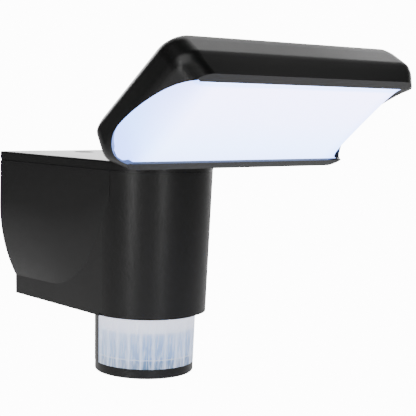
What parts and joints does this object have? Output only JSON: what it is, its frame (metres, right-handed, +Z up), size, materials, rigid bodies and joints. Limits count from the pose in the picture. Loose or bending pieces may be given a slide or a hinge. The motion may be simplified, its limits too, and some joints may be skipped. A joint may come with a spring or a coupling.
{
  "type": "solar flood light",
  "caption": "Wall-mounted solar flood light with a battery housing, a turning and tilting lamp head carrying a solar panel, and a swivelling motion sensor below.",
  "frame": {"origin": "on the wall, in the middle of the wall bracket's four holes", "axes": "+Z up, +Y into the wall, so that the lamp stands out along -Y, +X to the right seen from the front"},
  "size_m": [0.1934, 0.2614, 0.2222],
  "materials": {
    "black_casing": "fine satin texture",
    "inner_plastic": "moulded",
    "bracket_plastic": "moulded",
    "hinge_metal": "powder coated",
    "steel": "zinc plated",
    "washer_plastic": "natural nylon",
    "cell_wrap": "shrink wrap",
    "nickel": "nickel plated",
    "circuit_board": "solder mask",
    "led_board_white": "white solder mask",
    "component_black": "moulded",
    "button_rubber": "matt",
    "diffuser_white": "opal",
    "tray_white": "moulded",
    "chip_yellow": "phosphor",
    "aluminium_plate": "rolled",
    "seal_rubber": "foam",
    "backing_white": "sheet",
    "cell_blue": "silicon",
    "panel_cover": "clear, smooth",
    "lens_milky": "ribbed inside",
    "knob_grey": "moulded"
  },
  "bodies": {
    "housing": {"housing_body": "black_casing", "top_cover": "black_casing", "cover_screws": "steel", "back_panel": "inner_plastic", "wall_bracket": "bracket_plastic", "lock_screw": "steel", "battery_cells": "cell_wrap", "battery_holder": "inner_plastic", "cell_contacts": "nickel", "control_board": "circuit_board", "board_parts": "component_black", "button_switch": "component_black"},
    "button": {"mode_button": "button_rubber"},
    "neck": {"neck_arm": "black_casing", "neck_nut": "inner_plastic", "neck_washer": "washer_plastic"},
    "head": {"head_shell": "black_casing", "diffuser": "diffuser_white", "hinge_bracket": "hinge_metal", "bracket_screws": "steel", "hinge_bolt": "steel", "hinge_nut": "steel", "hinge_washers": "washer_plastic", "panel_seal": "seal_rubber", "panel_backing": "backing_white", "solar_cells": "cell_blue", "panel_glass": "panel_cover", "reflector_tray": "tray_white", "led_chips": "chip_yellow", "led_board": "led_board_white", "heat_spreader": "aluminium_plate", "spreader_screws": "steel"},
    "sensor": {"sensor_frame": "black_casing", "sensor_lens": "lens_milky", "sensor_cap": "black_casing", "cap_screws": "steel", "sensor_retainer": "inner_plastic", "sensor_board": "circuit_board", "pyro_sensor": "nickel", "adjuster_board": "circuit_board", "adjusters": "component_black"},
    "time_dial": {"time_knob": "knob_grey"},
    "light_dial": {"light_knob": "knob_grey"}
  },
  "joints": [
    {"name": "button_press", "type": "slide", "parent": "housing", "child": "button", "axis": [0, 0, -1], "range_m": [0, 0.0012], "stiffness_N_per_m": 700, "springref_m": -0.0008},
    {"name": "neck_pan", "type": "hinge", "parent": "housing", "child": "neck", "pos_m": [0, -0.1085, 0.0522], "axis": [0, 0, 1], "range_deg": [-60, 60]},
    {"name": "head_tilt", "type": "hinge", "parent": "neck", "child": "head", "pos_m": [0, -0.16374, 0.0593], "axis": [1, 0, 0], "range_deg": [-30, 35]},
    {"name": "sensor_swivel", "type": "hinge", "parent": "housing", "child": "sensor", "pos_m": [0, -0.105, -0.0522], "axis": [0, 0, 1], "range_deg": [-45, 45]},
    {"name": "time_dial_turn", "type": "hinge", "parent": "sensor", "child": "time_dial", "pos_m": [-0.013, -0.115, -0.09], "axis": [0, 0, 1], "range_deg": [-135, 135]},
    {"name": "light_dial_turn", "type": "hinge", "parent": "sensor", "child": "light_dial", "pos_m": [0.013, -0.115, -0.09], "axis": [0, 0, 1], "range_deg": [-135, 135]}
  ]
}
